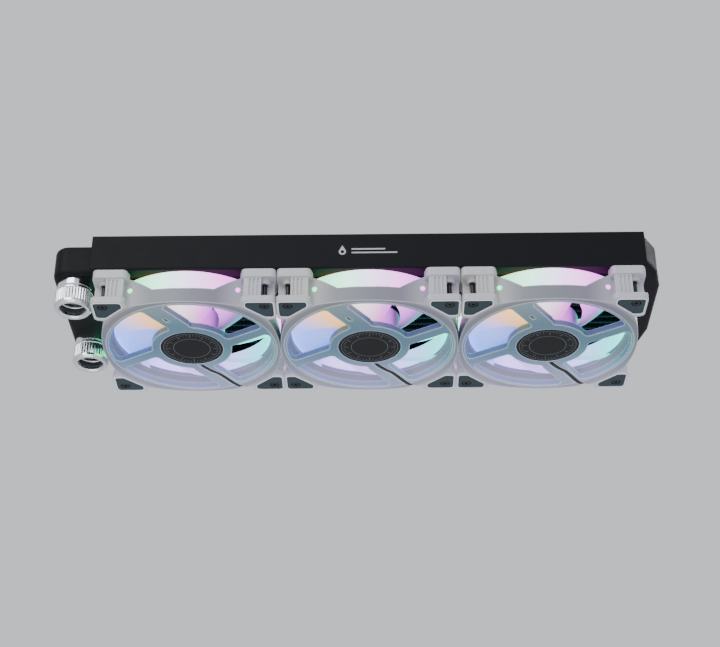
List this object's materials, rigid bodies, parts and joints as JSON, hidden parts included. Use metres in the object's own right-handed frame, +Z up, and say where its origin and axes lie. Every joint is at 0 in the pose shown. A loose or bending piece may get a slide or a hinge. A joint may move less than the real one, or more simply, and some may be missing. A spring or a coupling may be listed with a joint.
{
  "type": "liquid cooling radiator",
  "caption": "Slim black liquid cooling radiator with lit white fans below it and hard-tube compression fittings on the port tank.",
  "frame": {"origin": "centre of the middle fan's screw pattern, on the face that meets the case", "axes": "+X along the radiator away from the ports, +Y away from the near side, +Z up to the case"},
  "size_m": [0.403, 0.1201, 0.052],
  "materials": {
    "radiator_paint": "fine satin powder coat",
    "core_paint": "thin black paint on folded fins",
    "brass": "satin",
    "chrome": "polished, knurled on the collar",
    "rubber": "matt",
    "ferrule_plastic": "moulded",
    "badge_print": "screen print",
    "screw_steel": "black zinc",
    "label_film": "matt printed film",
    "frame_plastic": "fine satin moulding",
    "diffuser": "milky light guide",
    "led_board": "white solder mask",
    "pad_rubber": "slate grey, matt",
    "blade_plastic": "translucent milk white",
    "magnet": "ferrite in a steel cup",
    "shaft_steel": "ground",
    "steel_laminations": "stacked laminations",
    "copper": "enamelled copper wire",
    "circuit_board": "green solder mask",
    "lead_jacket": "satin black jacket",
    "socket_plastic": "black moulding"
  },
  "bodies": {
    "radiator": {"near_side_channel": "radiator_paint", "far_side_channel": "radiator_paint", "core_side_plates": "radiator_paint", "coolant_tubes": "core_paint", "fin_strips": "core_paint", "header_plates": "radiator_paint", "port_tank": "radiator_paint", "tank_divider": "brass", "return_tank": "radiator_paint", "port_bosses": "radiator_paint", "fitting_bases": "chrome", "fitting_seals": "rubber", "side_badge": "badge_print", "fan_screws": "screw_steel", "hub_labels": "label_film", "bearings": "brass", "left_frame": "frame_plastic", "left_face": "frame_plastic", "left_light_ring": "diffuser", "left_led_board": "led_board", "left_corner_pads": "pad_rubber", "left_stator_core": "steel_laminations", "left_windings": "copper", "left_motor_board": "circuit_board", "left_lead": "lead_jacket", "left_lead_socket": "socket_plastic", "middle_frame": "frame_plastic", "middle_face": "frame_plastic", "middle_light_ring": "diffuser", "middle_led_board": "led_board", "middle_corner_pads": "pad_rubber", "middle_stator_core": "steel_laminations", "middle_windings": "copper", "middle_motor_board": "circuit_board", "middle_lead": "lead_jacket", "middle_lead_socket": "socket_plastic", "right_frame": "frame_plastic", "right_face": "frame_plastic", "right_light_ring": "diffuser", "right_led_board": "led_board", "right_corner_pads": "pad_rubber", "right_stator_core": "steel_laminations", "right_windings": "copper", "right_motor_board": "circuit_board", "right_lead": "lead_jacket", "right_lead_socket": "socket_plastic"},
    "left_rotor": {"left_impeller": "blade_plastic", "left_rotor_rings": "magnet", "left_shaft": "shaft_steel"},
    "middle_rotor": {"middle_impeller": "blade_plastic", "middle_rotor_rings": "magnet", "middle_shaft": "shaft_steel"},
    "right_rotor": {"right_impeller": "blade_plastic", "right_rotor_rings": "magnet", "right_shaft": "shaft_steel"},
    "near_collar_body": {"near_collar": "chrome"},
    "near_ferrule_body": {"near_ferrule": "ferrule_plastic"},
    "far_collar_body": {"far_collar": "chrome"},
    "far_ferrule_body": {"far_ferrule": "ferrule_plastic"}
  },
  "joints": [
    {"name": "left_fan_spin", "type": "hinge", "parent": "radiator", "child": "left_rotor", "pos_m": [-0.12, 0, -0.04], "axis": [0, 0, 1], "continuous": true},
    {"name": "middle_fan_spin", "type": "hinge", "parent": "radiator", "child": "middle_rotor", "pos_m": [0, 0, -0.04], "axis": [0, 0, 1], "continuous": true},
    {"name": "right_fan_spin", "type": "hinge", "parent": "radiator", "child": "right_rotor", "pos_m": [0.12, 0, -0.04], "axis": [0, 0, 1], "continuous": true},
    {"name": "near_collar_travel", "type": "slide", "parent": "radiator", "child": "near_ferrule_body", "axis": [0, 0, -1], "range_m": [0, 0.003]},
    {"name": "near_collar_turn", "type": "hinge", "parent": "near_ferrule_body", "child": "near_collar_body", "pos_m": [-0.1955, -0.036, -0.0365], "axis": [0, 0, -1], "range_deg": [0, 1080]},
    {"name": "far_collar_travel", "type": "slide", "parent": "radiator", "child": "far_ferrule_body", "axis": [0, 0, -1], "range_m": [0, 0.003]},
    {"name": "far_collar_turn", "type": "hinge", "parent": "far_ferrule_body", "child": "far_collar_body", "pos_m": [-0.1955, 0.036, -0.0365], "axis": [0, 0, -1], "range_deg": [0, 1080]}
  ],
  "couplings": [
    {"joint": "near_collar_turn", "follows": "near_collar_travel", "rad_per_m": 6283.2},
    {"joint": "far_collar_turn", "follows": "far_collar_travel", "rad_per_m": 6283.2}
  ]
}
